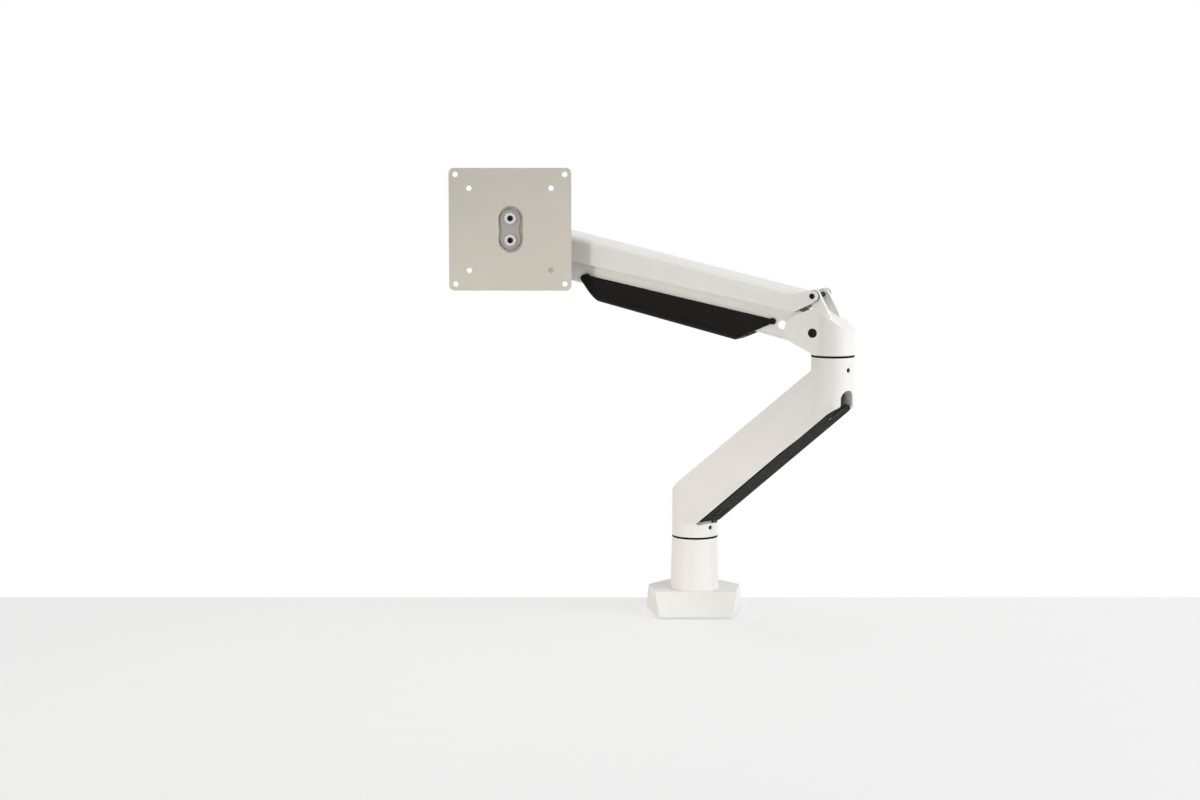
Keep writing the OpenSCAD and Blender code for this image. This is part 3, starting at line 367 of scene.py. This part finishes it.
# name, material, slot, outline, place, depth under the face, height over it, width of the edges
LATCH = [
    ("strip_latch_lip", materials["cover_plastic"], "cover_plastic",
     obround(0.0155, 0.0078), slot_at, -0.0006, 0.0005, 0.0003),
    # The slot is a black sheet on the lip: painted shade
    ("strip_latch_slot", painted_recess_shade, "cover_plastic",
     obround(0.0135, 0.0052), slot_at, 0.0, 0.00056, 0.00005),
    ("strip_latch_catch", catch_steel, "zinc",
     obround(0.0034, 0.0022), catch_at, -0.0004, 0.0009, 0.0003),
]
for name, mat, slot, outline, place, low, high, width in LATCH:
    add_piece(name, "lower_cover", mat, prism(name, outline, place, strip_axes, low, high), width)

# ---------------------------------------------------------------- stage

# The desk lies just under the pad, its back edge stops in front of the clamp's back, and it is
# as thick as the jaws hold. The camera sees it partly as plain white, as in the photograph.
DESK_HALF = 3.0
DESK_FRONT, DESK_BACK = -1.5, 0.0592
DESK_BOTTOM, DESK_TOP = -0.0248, -0.0003
DESK_GREY = (0.93, 0.93, 0.93)
DESK_WHITE_SHARE = 0.6


def slab(name, low, high, mat):
    mesh = bpy.data.meshes.new(name)
    corners = [(x, y, z) for z in (low[2], high[2]) for y in (low[1], high[1]) for x in (low[0], high[0])]
    faces = [(0, 2, 3, 1), (4, 5, 7, 6), (0, 1, 5, 4), (2, 6, 7, 3), (0, 4, 6, 2), (1, 3, 7, 5)]
    mesh.from_pydata(corners, [], faces)
    obj = bpy.data.objects.new(name, mesh)
    scene.collection.objects.link(obj)
    mesh.materials.append(mat)


desk, desk_tree, desk_shader = new_material("desk")
desk_tone = shades(desk_tree, noise(desk_tree, coords(desk_tree), 30.0), DESK_GREY,
                   (0.3, 0.915 / 0.93), (0.7, 1.0))
desk_tree.links.new(desk_tone, desk_shader.inputs["Base Color"])
desk_shader.inputs["Roughness"].default_value = 0.75
desk_shader.inputs["Specular IOR Level"].default_value = 0.2
desk_white = desk_tree.nodes.new("ShaderNodeEmission")
desk_white.inputs["Color"].default_value = PURE_WHITE
desk_white.inputs["Strength"].default_value = 1.0
mix_for_seen(desk_tree, desk_shader, desk_white, "Material Output", DESK_WHITE_SHARE)
slab("desk", (-DESK_HALF, DESK_FRONT, DESK_BOTTOM), (DESK_HALF, DESK_BACK, DESK_TOP), desk)

# ---------------------------------------------------------------- light

# A soft warm world that is seen as plain white
world = bpy.data.worlds.new("studio")
scene.world = world
world.use_nodes = True
world_tree = world.node_tree
ambient = world_tree.nodes["Background"]
ambient.inputs["Color"].default_value = (1.0, 0.985, 0.955, 1.0)
ambient.inputs["Strength"].default_value = 0.30
backdrop = world_tree.nodes.new("ShaderNodeBackground")
backdrop.inputs["Color"].default_value = PURE_WHITE
backdrop.inputs["Strength"].default_value = 1.0
mix_for_seen(world_tree, ambient, backdrop, "World Output")


def add_light(name, kind, place, target, power, colour):
    data = bpy.data.lights.new(name, kind)
    data.energy = power
    data.color = colour
    obj = bpy.data.objects.new(name, data)
    obj.location = place
    obj.rotation_euler = (Vector(target) - Vector(place)).to_track_quat("-Z", "Y").to_euler()
    scene.collection.objects.link(obj)
    return data


# The key from the right and a little light from above, both soft, aimed at the arm's middle
ARM_MIDDLE = (-0.05, 0.0, 0.22)
for name, place, power, colour in [
    ("key", (2.2, -0.9, 1.0), 38.0, (0.96, 0.98, 1.0)),
    ("top", (-0.3, -0.2, 2.2), 11.0, (1.0, 1.0, 1.0)),
]:
    panel = add_light(name, "AREA", place, ARM_MIDDLE, power, colour)
    panel.shape = "RECTANGLE"
    panel.size, panel.size_y = 1.8, 1.6

# Warm light on the base and column from low on the left, as the photograph's desk throws it back
bounce = add_light("low", "SPOT", (-1.3, -1.5, 0.35), (0.02, 0.0, 0.06), 140.0, (1.0, 0.93, 0.87))
bounce.spot_size = math.radians(16.0)
bounce.spot_blend = 1.0
bounce.shadow_soft_size = 0.3

# ---------------------------------------------------------------- camera

CAMERA_DOWN = 6.35
camera = bpy.data.cameras.new("camera")
camera.sensor_width = 36.0
camera.lens = 66.0
camera.clip_start = 0.05
camera.clip_end = 20.0
eye = bpy.data.objects.new("camera", camera)
eye.location = (-0.0917, -2.1, 0.438)
eye.rotation_euler = (math.radians(90.0 - CAMERA_DOWN), 0.0, 0.0)
scene.collection.objects.link(eye)
scene.camera = eye
scene.view_settings.view_transform = "Standard"
